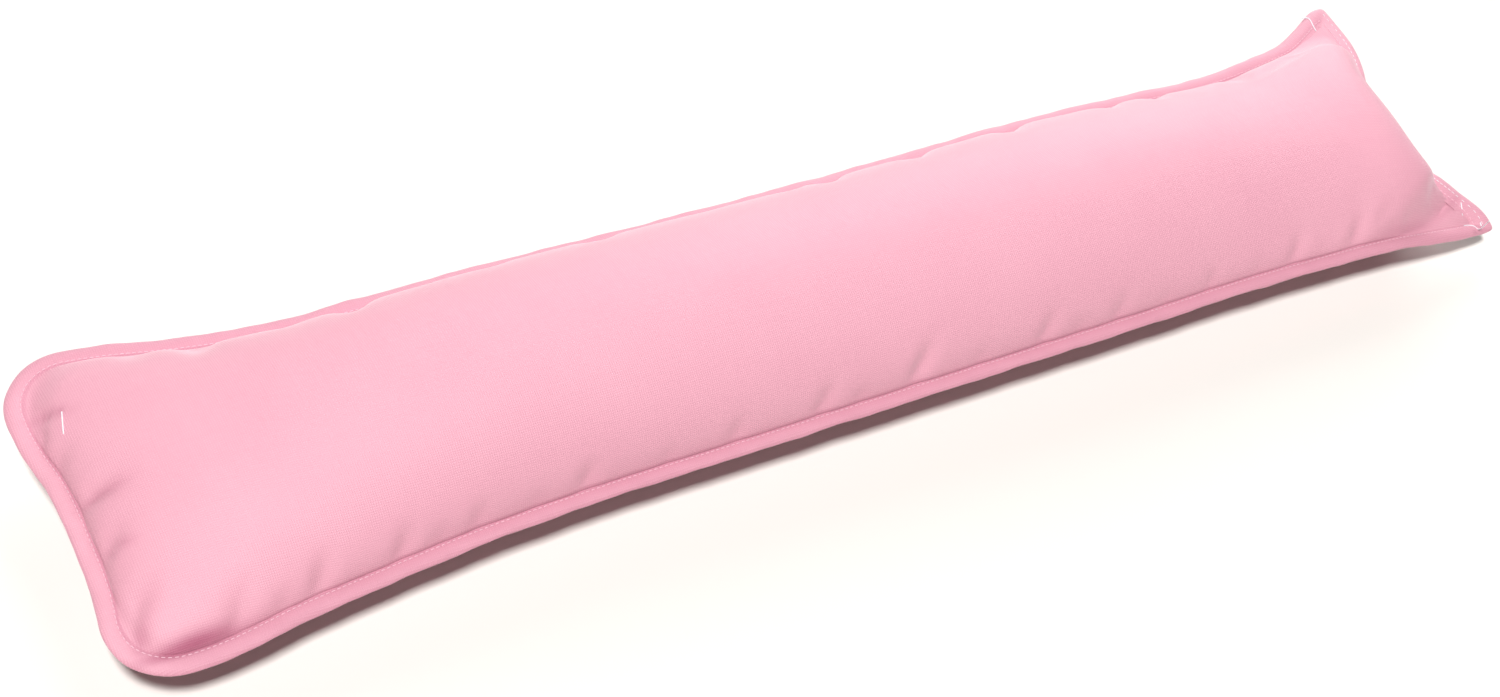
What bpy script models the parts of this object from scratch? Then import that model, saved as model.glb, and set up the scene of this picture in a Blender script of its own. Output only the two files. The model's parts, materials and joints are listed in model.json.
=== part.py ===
"""A draught excluder: a long stuffed canvas cushion with a flat topstitched flange all round.

Two panels are sewn together 9 mm inside their turned edges, and the tube between them is stuffed.
The filled cushion lies on the floor. The frame is metres, +Z up, +X towards the end that was sewn
shut last, +Y towards the back edge, with the origin on the floor under the middle of its box.
"""

import math

import bpy
import numpy as np

MM = 0.001

# Driving sizes
LENGTH = 800 * MM
FLANGE_WIDTH = 9 * MM
FLANGE_THICKNESS = 2.2 * MM
FLANGE_DROOP = 2 * MM
ROUND_CORNER_RADIUS = 27 * MM
LEFT_END_PULL = 7 * MM
RIGHT_END_PULL = 18 * MM
LEFT_END_PULL_PLACE = -18 * MM
RIGHT_END_PULL_PLACE = -10 * MM
END_PULL_WIDTH = 50 * MM
END_PULL_REACH = 90 * MM
LEFT_END_RISE = 125 * MM
RIGHT_END_RISE = 54 * MM
FLOOR_ROUNDING = 9 * MM
DEEPEST_PUCKER_SHARE = 0.4
SEAM_STEEPNESS = math.radians(84)

# Mesh steps
END_STEPS = 8
MIDDLE_STEPS = 104
ACROSS_STEPS = 18

# One row for each section, in millimetres: the place along X, the seam line's front and back Y, the
# seam's height over the floor, and how far the two panels bulge over and under the seam when full.
SECTION_COLUMNS = ("x", "front", "back", "seam", "crown", "belly")
SECTIONS = (
    (-390, -86, 83, 34, 34, 46),
    (-350, -86, 78, 34, 34, 47),
    (-310, -79, 69, 35, 35, 48),
    (-270, -74, 64, 35, 39, 49),
    (-225, -70, 63, 36, 44, 50),
    (-160, -67, 63, 36, 47, 51),
    (-80, -67, 61, 36, 48, 51),
    (0, -67, 60, 36, 46, 51),
    (80, -67, 60, 36, 46, 51),
    (160, -67, 61, 36, 44, 50),
    (230, -67, 59, 36, 37, 50),
    (290, -69, 57, 35, 31, 49),
    (330, -71, 61, 34, 32, 48),
    (360, -75, 67, 33, 36, 47),
    (390, -80, 81, 33, 40, 47),
)

# One row for each corner, which the filling doesn't reach: how far its slack cloth runs along the
# long edge and along the end, in millimetres.
CORNER_COLUMNS = ("end", "edge", "along", "across")
CORNERS = (
    ("left", "front", 24, 20),
    ("left", "back", 40, 36),
    ("right", "front", 80, 32),
    ("right", "back", 54, 34),
)

# One row for each pucker drawn in by the stitching: the edge that it starts from, its place along
# that edge, its depth, half its width, how far it runs into the panel, and how far it leans towards
# +X (on the ends, +Y) on the way, in millimetres.
PUCKER_COLUMNS = ("edge", "place", "depth", "half_width", "reach", "lean")
PUCKERS = (
    ("front", -340, 4.5, 9, 32, 8),
    ("front", -300, 5.0, 8, 36, 10),
    ("front", -259, 5.0, 8, 36, 12),
    ("front", -220, 3.5, 8, 28, 8),
    ("front", -164, 4.5, 8, 32, 10),
    ("front", -83, 4.0, 8, 28, 6),
    ("front", -35, 5.0, 8, 34, 14),
    ("front", 20, 6.0, 8, 40, 18),
    ("front", 97, 4.5, 8, 38, 20),
    ("front", 145, 4.0, 8, 32, 10),
    ("front", 205, 3.0, 8, 28, 8),
    ("front", 262, 4.5, 8, 36, 16),
    ("front", 304, 5.0, 9, 34, 14),
    ("back", -305, 4.0, 10, 36, -6),
    ("back", -228, 5.5, 9, 38, -8),
    ("back", -160, 3.0, 9, 30, 0),
    ("back", -97, 5.0, 9, 36, -8),
    ("back", -40, 2.5, 9, 26, 0),
    ("back", 12, 4.0, 8, 30, -6),
    ("back", 35, 5.5, 9, 38, -8),
    ("back", 88, 5.5, 9, 38, -8),
    ("back", 150, 5.5, 9, 40, -10),
    ("back", 215, 4.5, 8, 32, -6),
    ("back", 247, 4.0, 8, 32, -6),
    ("back", 305, 3.5, 8, 32, -4),
    ("left", 48, 4.5, 9, 34, 0),
    ("left", 2, 5.5, 8, 42, 14),
    ("left", -30, 3.5, 7, 28, 8),
    ("left", -66, 5.0, 9, 34, 10),
    ("right", 52, 4.0, 9, 30, 0),
    ("right", 8, 3.5, 9, 28, 0),
    ("right", -50, 4.5, 9, 34, -8),
)


def column(name):
    """One column of the section table, in metres."""
    place = SECTION_COLUMNS.index(name)
    return np.array([row[place] for row in SECTIONS], float) * MM


def smooth(name, x):
    """A section column read at x along a smooth curve through the rows (a cubic Hermite curve)."""
    knots = column("x")
    values = column(name)
    slopes = np.gradient(values, knots)
    x = np.clip(x, knots[0], knots[-1])
    span = np.clip(np.searchsorted(knots, x) - 1, 0, len(knots) - 2)
    width = knots[span + 1] - knots[span]
    t = (x - knots[span]) / width
    return (
        values[span] * (1 + 2 * t) * (1 - t) ** 2
        + slopes[span] * width * t * (1 - t) ** 2
        + values[span + 1] * t**2 * (3 - 2 * t)
        - slopes[span + 1] * width * t**2 * (1 - t)
    )


def stations():
    """Places of the cross-sections from one end seam to the other, close together at both ends."""
    end = LENGTH / 2 - FLANGE_WIDTH
    turn = np.linspace(0, math.pi / 2, END_STEPS + 1)
    close = ROUND_CORNER_RADIUS * (1 - np.cos(turn))
    middle = np.linspace(close[-1] - end, end - close[-1], MIDDLE_STEPS + 1)
    return np.concatenate([close[:-1] - end, middle, (end - close[:-1])[::-1]])


def end_rise(distance, reach):
    """How far a panel has risen, from 0 at the end seam to 1 at reach, along part of an ellipse."""
    share = np.clip(distance / reach, 0, 1)
    return np.sqrt(1 - (1 - share) ** 2)


def corner_cut(distance):
    """How much the rounded corners of the left end narrow each side of the seam line."""
    short = np.clip(ROUND_CORNER_RADIUS - distance, 0, ROUND_CORNER_RADIUS)
    return ROUND_CORNER_RADIUS - np.sqrt(ROUND_CORNER_RADIUS**2 - short**2)


def corner_fill(from_ends, from_edges):
    """How full the panel is in its corners, from 0 at a corner's tip to 1 past its slack cloth."""
    fill = 1.0
    for row in CORNERS:
        corner = dict(zip(CORNER_COLUMNS, row))
        inward = from_ends[corner["end"]] / corner["along"] + from_edges[corner["edge"]] / corner["across"]
        share = np.clip(inward / MM, 0, 1)
        fill = fill * share**2 * (3 - 2 * share)
    return fill


def above_floor(height):
    """Heights that would lie under the floor, flattened on to it, with a rounded edge to the flat."""
    rounded = (height + FLOOR_ROUNDING) ** 2 / (4 * FLOOR_ROUNDING)
    return np.where(
        height > FLOOR_ROUNDING, height, np.where(height > -FLOOR_ROUNDING, rounded, 0.0)
    )


def panel(side):
    """Points of the upper (side 1) or lower (side -1) panel, by station and by place across.

    Each cross-section is an arc from seam to seam, squeezed to the height the filling gives it, so
    the cloth leaves the seam steeply wherever the cushion is full.
    """
    x = stations()[:, None]
    across = np.linspace(-1, 1, ACROSS_STEPS + 1)[None, :]
    end = LENGTH / 2 - FLANGE_WIDTH
    from_left = x + end
    from_right = end - x
    front = smooth("front", x) + corner_cut(from_left)
    back = smooth("back", x) - corner_cut(from_left)
    middle = (front + back) / 2
    half = (back - front) / 2
    y = middle + half * np.sin(across * SEAM_STEEPNESS) / math.sin(SEAM_STEEPNESS)
    full = end_rise(from_left, LEFT_END_RISE) * end_rise(from_right, RIGHT_END_RISE)
    from_ends = {"left": from_left, "right": from_right}
    full = full * corner_fill(from_ends, {"front": y - front, "back": back - y})
    bulge = smooth("crown" if side > 0 else "belly", x) * full
    seam_level = math.cos(SEAM_STEEPNESS)
    arc = (np.cos(across * SEAM_STEEPNESS) - seam_level) / (1 - seam_level)
    z = smooth("seam", x) + side * (FLANGE_THICKNESS / 2 + bulge * arc)
    fade_left = np.clip(1 - from_left / END_PULL_REACH, 0, 1) ** 2
    fade_right = np.clip(1 - from_right / END_PULL_REACH, 0, 1) ** 2
    dent_left = LEFT_END_PULL * np.exp(-(((y - LEFT_END_PULL_PLACE) / END_PULL_WIDTH) ** 4))
    dent_right = RIGHT_END_PULL * np.exp(-(((y - RIGHT_END_PULL_PLACE) / END_PULL_WIDTH) ** 4))
    x = x + dent_left * fade_left - dent_right * fade_right
    return np.stack(np.broadcast_arrays(x, y, z), axis=-1)


def outward(points, side):
    """Unit normals of a panel's grid of points, facing out of the cushion."""
    along = np.gradient(points, axis=0)
    across = np.gradient(points, axis=1)
    normal = np.cross(along, across) * side
    return normal / np.maximum(np.linalg.norm(normal, axis=-1, keepdims=True), 1e-12)


def arc_length(points, axis):
    """Distance walked along a grid line from its first point."""
    steps = np.linalg.norm(np.diff(points, axis=axis), axis=-1)
    first = np.zeros_like(np.take(steps, [0], axis=axis))
    return np.concatenate([first, np.cumsum(steps, axis=axis)], axis=axis)


def from_edges(points):
    """For each edge: the distance of every grid point from it, and its place along it."""
    across = arc_length(points, 1)
    along = arc_length(points, 0)
    return {
        "front": (across, points[..., 0]),
        "back": (across[:, -1:] - across, points[..., 0]),
        "left": (along, points[..., 1]),
        "right": (along[-1:] - along, points[..., 1]),
    }


def pucker_depth(points):
    """How far the stitching draws each point in: a row of soft troughs that run in from the seam."""
    edges = from_edges(points)
    depth = np.zeros(points.shape[:2])
    for row in PUCKERS:
        pucker = dict(zip(PUCKER_COLUMNS, row))
        distance, place = edges[pucker["edge"]]
        run = np.clip(distance / (pucker["reach"] * MM), 0, 1)
        offset = place - (pucker["place"] + pucker["lean"] * run) * MM
        trough = np.exp(-((offset / (pucker["half_width"] * MM)) ** 2))
        swell = 4 * run * (1 - run) ** 2 * 27 / 16
        depth += pucker["depth"] * MM * trough * swell
    return depth


def puckered(side):
    """A panel's points with the puckers pressed in, kept off the floor side's flat.

    A pucker takes at most a share of the height that the panel has over or under the seam.
    """
    points = panel(side)
    risen = np.abs(points[..., 2] - smooth("seam", points[..., 0]))
    depth = np.minimum(pucker_depth(points), DEEPEST_PUCKER_SHARE * risen)
    moved = points - outward(points, side) * depth[..., None]
    if side < 0:
        moved[..., 2] = above_floor(moved[..., 2])
    moved[0], moved[-1] = points[0], points[-1]
    moved[:, 0], moved[:, -1] = points[:, 0], points[:, -1]
    return moved


def rim(grid):
    """A grid's border as one closed loop: front edge, right end, back edge, left end."""
    return np.concatenate([grid[:-1, 0], grid[-1, :-1], grid[:0:-1, -1], grid[0, :0:-1]])


def flange_edge(seam_loop):
    """The flange's outer edge: the seam loop moved out in plan by the flange's width, and down."""
    plan = seam_loop[:, :2]
    ahead = np.roll(plan, -1, axis=0) - plan
    ahead /= np.linalg.norm(ahead, axis=1, keepdims=True)
    behind = np.roll(ahead, 1, axis=0)
    turned = np.stack([ahead[:, 1] + behind[:, 1], -(ahead[:, 0] + behind[:, 0])], axis=1)
    mitre = turned / (1 + (ahead * behind).sum(axis=1, keepdims=True))
    edge = seam_loop.copy()
    edge[:, :2] += mitre * FLANGE_WIDTH
    edge[:, 2] -= FLANGE_DROOP
    return edge


def cushion_mesh():
    """One closed mesh: upper panel, lower panel, and between their borders the flange."""
    upper = puckered(1)
    lower = puckered(-1)
    shape = upper.shape[:2]
    count = shape[0] * shape[1]
    upper_index = np.arange(count).reshape(shape)
    lower_index = upper_index + count
    upper_edge = flange_edge(rim(upper))
    lower_edge = flange_edge(rim(lower))
    points = np.concatenate([upper.reshape(-1, 3), lower.reshape(-1, 3), upper_edge, lower_edge])
    edge_index = np.arange(len(upper_edge)) + 2 * count
    loops = (
        rim(upper_index),
        edge_index,
        edge_index + len(upper_edge),
        rim(lower_index),
    )
    faces = []
    for index, flip in ((upper_index, False), (lower_index, True)):
        corners = (index[:-1, :-1], index[1:, :-1], index[1:, 1:], index[:-1, 1:])
        quads = np.stack(corners[::-1] if flip else corners, axis=-1)
        faces.extend(quads.reshape(-1, 4).tolist())
    for inner, outer in zip(loops, loops[1:]):
        following = (inner, outer, np.roll(outer, -1), np.roll(inner, -1))
        faces.extend(np.stack(following, axis=-1).tolist())
    return points, faces


def canvas_material():
    """Plain-dyed pale pink cotton canvas, matt."""
    material = bpy.data.materials.new("pink_canvas")
    material.use_nodes = True
    surface = material.node_tree.nodes["Principled BSDF"]
    surface.inputs["Base Color"].default_value = (0.93, 0.47, 0.60, 1.0)
    surface.inputs["Roughness"].default_value = 0.9
    surface.inputs["Metallic"].default_value = 0.0
    return material


def clear_scene():
    for item in list(bpy.data.objects):
        bpy.data.objects.remove(item)


def build_cushion():
    points, faces = cushion_mesh()
    low, high = points.min(axis=0), points.max(axis=0)
    points[:, :2] -= (low[:2] + high[:2]) / 2
    mesh = bpy.data.meshes.new("cushion")
    mesh.from_pydata(points.tolist(), [], faces)
    mesh.validate()
    mesh.shade_smooth()
    mesh.set_sharp_from_angle(angle=math.radians(50))
    mesh.materials.append(canvas_material())
    cushion = bpy.data.objects.new("cushion", mesh)
    bpy.context.scene.collection.objects.link(cushion)
    print("cushion size in mm:", np.round((high - low) / MM, 1))


clear_scene()
build_cushion()
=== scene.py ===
# %% [markdown]
# # A stuffed draught excluder
#
# The object is a long cushion that lies along the foot of a door. Two panels of pink cotton canvas
# are sewn together, turned right side out and topstitched a little way inside the edge. That leaves
# a flat rim all round, with the stuffed body inside it. The solid that carries the looks is loaded
# first.

# %% Load the solid
import json
import math

import bpy
import numpy as np
from mathutils import Matrix

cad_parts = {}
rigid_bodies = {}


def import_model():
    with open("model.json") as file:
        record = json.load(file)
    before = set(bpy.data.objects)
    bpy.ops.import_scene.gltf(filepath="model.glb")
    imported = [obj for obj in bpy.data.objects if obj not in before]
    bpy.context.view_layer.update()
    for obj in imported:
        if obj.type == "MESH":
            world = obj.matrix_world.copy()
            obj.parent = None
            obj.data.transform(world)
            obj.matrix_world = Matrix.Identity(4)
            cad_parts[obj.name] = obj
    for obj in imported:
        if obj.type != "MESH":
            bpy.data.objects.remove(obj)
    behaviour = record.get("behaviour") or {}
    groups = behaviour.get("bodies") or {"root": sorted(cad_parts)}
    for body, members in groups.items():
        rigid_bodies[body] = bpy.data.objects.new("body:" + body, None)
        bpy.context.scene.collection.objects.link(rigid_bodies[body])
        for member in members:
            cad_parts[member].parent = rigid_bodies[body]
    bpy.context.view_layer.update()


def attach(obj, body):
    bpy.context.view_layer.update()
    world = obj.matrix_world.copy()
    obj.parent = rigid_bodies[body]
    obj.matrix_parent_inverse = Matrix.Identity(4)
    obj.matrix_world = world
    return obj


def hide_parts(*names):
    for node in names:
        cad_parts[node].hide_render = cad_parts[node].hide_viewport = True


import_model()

MM = 0.001

# %% [markdown]
# ## The camera
#
# A camera's place can be given as the point that it looks at, two angles, a distance and a roll.
# That is easier to read than a matrix, and each number can be judged by eye. The picture was turned
# a little when it was cut out, so the roll isn't zero. The long lens keeps both ends alike in size.

# %% Camera
CAMERA_LOOKS_AT = (-46.6 * MM, -15.6 * MM, 30 * MM)
CAMERA_AZIMUTH = math.radians(-40.75)
CAMERA_ELEVATION = math.radians(51.4)
CAMERA_ROLL = math.radians(17.1)
CAMERA_DISTANCE = 1271 * MM
CAMERA_LENS = 60.5


def make_camera():
    """A camera on a ball round its target: azimuth and elevation place it, and roll turns it."""
    flat = math.cos(CAMERA_ELEVATION)
    back = np.array([
        math.sin(CAMERA_AZIMUTH) * flat,
        -math.cos(CAMERA_AZIMUTH) * flat,
        math.sin(CAMERA_ELEVATION),
    ])
    level = np.array([math.cos(CAMERA_AZIMUTH), math.sin(CAMERA_AZIMUTH), 0])
    upright = np.cross(back, level)
    right = math.cos(CAMERA_ROLL) * level + math.sin(CAMERA_ROLL) * upright
    up = math.cos(CAMERA_ROLL) * upright - math.sin(CAMERA_ROLL) * level
    place = np.array(CAMERA_LOOKS_AT) + CAMERA_DISTANCE * back
    matrix = np.eye(4)
    matrix[:3] = np.stack([right, up, back, place], axis=1)
    data = bpy.data.cameras.new("camera")
    data.lens = CAMERA_LENS
    data.sensor_width = 36
    camera = bpy.data.objects.new("camera", data)
    camera.matrix_world = Matrix(matrix.tolist())
    bpy.context.scene.collection.objects.link(camera)
    bpy.context.scene.camera = camera
    return camera


camera = make_camera()
print("camera at", np.round(camera.matrix_world.translation, 3))

# %% [markdown]
# ## The seam line
#
# Everything on this cushion hangs on one closed line: the row of topstitching. The panels bulge
# inside it and the rim lies outside it. A short table gives the line's two long sides, how high it
# lies over the floor, how far the panels stand above and below it, and how wide the front rim is.
# A smooth curve through the rows fills in what lies between. The seam runs wavy because the filling
# pulls the middle narrow while the ends stay wide. One sharp corner has no filling and hangs down.

# %% Seam table and curves
LENGTH = 800 * MM
RIM_WIDTH = 9 * MM
ROUND_CORNER_RADIUS = 27 * MM
LEFT_END_PULL = 7 * MM
RIGHT_END_PULL = 16 * MM
LEFT_END_PULL_PLACE = -18 * MM
RIGHT_END_PULL_PLACE = -10 * MM
END_PULL_WIDTH = 50 * MM
END_PULL_REACH = 90 * MM
LEFT_END_RISE = 125 * MM
RIGHT_END_RISE = 54 * MM
TIP_MOVE = np.array([7, 8, -14]) * MM
TIP_REACH = (80 * MM, 45 * MM)
SEAM_STEEPNESS = math.radians(84)
FLOOR_ROUNDING = 9 * MM
BOX_MIDDLE = np.array([0.33, -2.76, 0]) * MM

SECTION_COLUMNS = ("x", "front", "back", "seam", "crown", "belly", "front_rim")
SECTIONS = (
    (-390, -86, 83, 34, 34, 46, 9),
    (-350, -86.5, 78, 34, 34, 47, 9),
    (-310, -81, 69, 35, 35, 48, 8.5),
    (-270, -77, 64, 35, 39, 49, 8),
    (-225, -73.5, 63, 36, 44, 50, 7.5),
    (-160, -71, 63, 36, 47, 51, 7),
    (-80, -71, 61, 36, 48, 51, 7),
    (0, -71, 60, 36, 46, 51, 7),
    (80, -71, 60, 36, 46, 51, 7),
    (160, -71, 61, 36, 44, 50, 7),
    (230, -70.5, 59, 36, 37, 50, 7),
    (290, -71.5, 57, 35, 31, 49, 7),
    (330, -73, 61, 34, 32, 48, 7),
    (360, -76, 67, 33, 36, 47, 7.5),
    (390, -80, 81, 33, 40, 47, 8),
)


def smooth(name, x):
    """A column read at x on a smooth curve: a cubic between rows that keeps each row's slope."""
    rows = np.array(SECTIONS, float) * MM
    knots, values = rows[:, 0], rows[:, SECTION_COLUMNS.index(name)]
    slopes = np.gradient(values, knots)
    x = np.clip(x, knots[0], knots[-1])
    span = np.clip(np.searchsorted(knots, x) - 1, 0, len(knots) - 2)
    width = knots[span + 1] - knots[span]
    t = (x - knots[span]) / width
    return (
        values[span] * (1 + 2 * t) * (1 - t) ** 2
        + slopes[span] * width * t * (1 - t) ** 2
        + values[span + 1] * t**2 * (3 - 2 * t)
        - slopes[span + 1] * width * t**2 * (1 - t)
    )


def stations(end_steps, middle_steps):
    """Places of cross-sections: even along the middle, and closer and closer at each end seam."""
    end = LENGTH / 2 - RIM_WIDTH
    close = ROUND_CORNER_RADIUS * (1 - np.cos(np.linspace(0, math.pi / 2, end_steps + 1)))
    middle = np.linspace(close[-1] - end, end - close[-1], middle_steps + 1)
    return np.concatenate([close[:-1] - end, middle, (end - close[:-1])[::-1]])


print("seam height in mm, left to right:", np.round(smooth("seam", np.linspace(-0.39, 0.39, 5)) / MM, 1))

# %% [markdown]
# ## The two panels
#
# A panel is one surface of two parameters: the place along the cushion and the place across it.
# Across, it is an arc from seam to seam. Along, the arcs rise from nothing at each end seam, as a
# part of an ellipse does: steeply first and then ever more gently. Below, the cloth can't go under
# the floor, so what would hang lower is flattened on to it, and its edge is rounded. The left end
# was sewn with round corners, so its arcs narrow over the last stretch. The filling doesn't reach
# into the corners, where the cloth is slack. At the two sharp ones a share of it lies quite flat,
# and the stuffed part starts with a crease. The front one droops, which moves its tip out and down.

# %% Panel surface
def end_rise(distance, reach):
    """A quarter of an ellipse: 0 at the end seam, 1 from reach on."""
    share = np.clip(distance / reach, 0, 1)
    return np.sqrt(1 - (1 - share) ** 2)


def corner_cut(distance):
    """A quarter circle: how much each rounded corner narrows the panel's side."""
    short = np.clip(ROUND_CORNER_RADIUS - distance, 0, ROUND_CORNER_RADIUS)
    return ROUND_CORNER_RADIUS - np.sqrt(ROUND_CORNER_RADIUS**2 - short**2)


CORNER_COLUMNS = ("end", "edge", "along", "across", "flat_share")
CORNERS = (
    ("left", "front", 24, 20, 0.0),
    ("left", "back", 40, 36, 0.0),
    ("right", "front", 78, 34, 0.5),
    ("right", "back", 54, 34, 0.3),
)


def corner_fill(from_ends, from_edges):
    """How full a corner is: 0 at its tip, and a smooth step up to 1 where its slack cloth ends."""
    fill = 1.0
    for row in CORNERS:
        corner = dict(zip(CORNER_COLUMNS, row))
        inward = from_ends[corner["end"]] / corner["along"] + from_edges[corner["edge"]] / corner["across"]
        share = np.clip((inward / MM - corner["flat_share"]) / (1 - corner["flat_share"]), 0, 1)
        fill = fill * share**2 * (3 - 2 * share)
    return fill


def above_floor(height):
    """Heights under the floor put on to it, with a parabola between the side and the flat."""
    rounded = (height + FLOOR_ROUNDING) ** 2 / (4 * FLOOR_ROUNDING)
    return np.where(height > FLOOR_ROUNDING, height, np.where(height > -FLOOR_ROUNDING, rounded, 0.0))


def panel(side, x, across):
    """Points of the upper (side 1) or lower (side -1) panel, by station and by place across.

    Across runs from -1 on the front seam to 1 on the back seam. It sets the turn of an arc that
    starts and ends at the seams, squeezed to the height that the filling gives it.
    """
    x = x[:, None]
    across = across[None, :]
    end = LENGTH / 2 - RIM_WIDTH
    from_left = x + end
    from_right = end - x
    front = smooth("front", x) + corner_cut(from_left)
    back = smooth("back", x) - corner_cut(from_left)
    y = (front + back) / 2
    y = y + (back - front) / 2 * np.sin(across * SEAM_STEEPNESS) / math.sin(SEAM_STEEPNESS)
    full = end_rise(from_left, LEFT_END_RISE) * end_rise(from_right, RIGHT_END_RISE)
    from_ends = {"left": from_left, "right": from_right}
    full = full * corner_fill(from_ends, {"front": y - front, "back": back - y})
    bulge = smooth("crown" if side > 0 else "belly", x) * full
    seam_level = math.cos(SEAM_STEEPNESS)
    arc = (np.cos(across * SEAM_STEEPNESS) - seam_level) / (1 - seam_level)
    z = smooth("seam", x) + side * bulge * arc
    fade_left = np.clip(1 - from_left / END_PULL_REACH, 0, 1) ** 2
    fade_right = np.clip(1 - from_right / END_PULL_REACH, 0, 1) ** 2
    dent_left = LEFT_END_PULL * np.exp(-(((y - LEFT_END_PULL_PLACE) / END_PULL_WIDTH) ** 4))
    dent_right = RIGHT_END_PULL * np.exp(-(((y - RIGHT_END_PULL_PLACE) / END_PULL_WIDTH) ** 4))
    along_tip = np.clip(1 - from_right / TIP_REACH[0], 0, 1)
    across_tip = np.clip(1 - (y - front) / TIP_REACH[1], 0, 1)
    tip = along_tip**2 * across_tip**2
    x = x + dent_left * fade_left - dent_right * fade_right
    points = np.stack(np.broadcast_arrays(x, y, z), axis=-1)
    return points + tip[..., None] * TIP_MOVE - BOX_MIDDLE


# %% [markdown]
# ## Puckers
#
# Topstitching takes up a little of the cloth, so the panels gather where the seam holds them. Each
# pucker is a short soft trough that starts at the seam and runs two or three centimetres into the
# panel, mostly leaning one way. A table places them, deeper ones between shallow ones. A
# trough is a bell curve across and a hump along: nothing at the seam itself, deepest a third of the
# way in, and gone at its reach.

# %% Pucker table and depth
DEEPEST_PUCKER_SHARE = 0.4
# The hump t (1 - t)^2 is 4/27 at its highest, so this brings it to 1.
HUMP_SCALE = 27 / 4
PUCKER_COLUMNS = ("edge", "place", "depth", "half_width", "reach", "lean")
PUCKERS = (
    ("front", -340, 2.4, 6, 26, 6),
    ("front", -318, 1.0, 4, 16, 3),
    ("front", -300, 2.6, 5, 26, 6),
    ("front", -259, 2.4, 4.5, 24, 6),
    ("front", -240, 0.9, 4, 15, 3),
    ("front", -220, 1.7, 4.5, 20, 4),
    ("front", -190, 0.8, 4, 14, 2),
    ("front", -164, 2.2, 4.5, 22, 5),
    ("front", -120, 1.0, 4, 16, 3),
    ("front", -83, 1.9, 4.5, 20, 4),
    ("front", -35, 2.4, 4.5, 24, 8),
    ("front", -12, 1.0, 4, 14, 3),
    ("front", 20, 3.6, 5, 30, 12),
    ("front", 58, 1.0, 4, 16, 4),
    ("front", 97, 2.2, 4.5, 26, 10),
    ("front", 120, 0.9, 4, 14, 3),
    ("front", 145, 1.8, 4.5, 22, 6),
    ("front", 176, 0.8, 4, 15, 4),
    ("front", 205, 1.4, 4.5, 20, 5),
    ("front", 236, 0.8, 4, 15, 4),
    ("front", 262, 2.2, 4.5, 24, 9),
    ("front", 304, 2.6, 5, 26, 10),
    ("front", 345, 1.4, 5, 20, 6),
    ("back", -335, 2.0, 7, 28, -4),
    ("back", -305, 3.5, 8, 36, -6),
    ("back", -262, 1.8, 6, 24, -4),
    ("back", -228, 5.0, 7, 38, -8),
    ("back", -190, 1.8, 6, 22, -4),
    ("back", -160, 2.6, 7, 30, 0),
    ("back", -97, 4.5, 7, 36, -8),
    ("back", -40, 2.2, 7, 26, 0),
    ("back", 12, 3.5, 6, 30, -6),
    ("back", 35, 5.0, 7, 38, -8),
    ("back", 88, 5.0, 7, 38, -8),
    ("back", 120, 1.8, 6, 22, -4),
    ("back", 150, 5.0, 7, 40, -10),
    ("back", 184, 1.8, 6, 22, -4),
    ("back", 215, 4.0, 6, 32, -6),
    ("back", 247, 3.6, 6, 32, -6),
    ("back", 305, 3.2, 7, 32, -4),
    ("left", 66, 1.4, 4, 18, -4),
    ("left", 54, 4.0, 4, 26, -6),
    ("left", 42, 2.2, 3.5, 16, 0),
    ("left", 24, 1.8, 5, 22, 6),
    ("left", 1, 4.6, 4.5, 36, -2),
    ("left", -30, 3.2, 5, 28, 8),
    ("left", -66, 4.5, 7, 34, 10),
    ("right", 52, 3.5, 7, 30, 0),
    ("right", 26, 2.0, 6, 22, 0),
    ("right", 6, 3.0, 7, 28, 0),
    ("right", -24, 2.0, 6, 24, -4),
    ("right", -52, 3.5, 7, 34, -8),
)


def arc_length(points, axis):
    """Distance walked along grid lines: the running sum of the steps between points."""
    steps = np.linalg.norm(np.diff(points, axis=axis), axis=-1)
    first = np.zeros_like(np.take(steps, [0], axis=axis))
    return np.concatenate([first, np.cumsum(steps, axis=axis)], axis=axis)


def from_edges(points):
    """For each edge of a panel: every point's distance from it, and its place along it."""
    across = arc_length(points, 1)
    along = arc_length(points, 0)
    x, y = (points + BOX_MIDDLE)[..., :2].transpose(2, 0, 1)
    return {
        "front": (across, x),
        "back": (across[:, -1:] - across, x),
        "left": (along, y),
        "right": (along[-1:] - along, y),
    }


def pucker_depth(points):
    """Sum of the table's troughs: a bell curve across each one times a hump along it."""
    edges = from_edges(points)
    depth = np.zeros(points.shape[:2])
    for row in PUCKERS:
        pucker = dict(zip(PUCKER_COLUMNS, row))
        distance, place = edges[pucker["edge"]]
        run = np.clip(distance / (pucker["reach"] * MM), 0, 1)
        offset = place - (pucker["place"] + pucker["lean"] * run) * MM
        trough = np.exp(-((offset / (pucker["half_width"] * MM)) ** 2))
        depth += pucker["depth"] * MM * trough * HUMP_SCALE * run * (1 - run) ** 2
    return depth


def outward(points, side):
    """Unit normals of a grid of points, from the cross product of its two directions."""
    normal = np.cross(np.gradient(points, axis=0), np.gradient(points, axis=1)) * side
    return normal / np.maximum(np.linalg.norm(normal, axis=-1, keepdims=True), 1e-12)


def puckered(side, x, across):
    """A panel with its puckers pressed in along its normals; the seam itself stays where it is."""
    points = panel(side, x, across)
    risen = np.abs(points[..., 2] - smooth("seam", points[..., 0]))
    depth = np.minimum(pucker_depth(points), DEEPEST_PUCKER_SHARE * risen)
    moved = points - outward(points, side) * depth[..., None]
    if side < 0:
        moved[..., 2] = above_floor(moved[..., 2])
    moved[0], moved[-1] = points[0], points[-1]
    moved[:, 0], moved[:, -1] = points[:, 0], points[:, -1]
    return moved


print(len(PUCKERS), "puckers on each panel")
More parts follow.
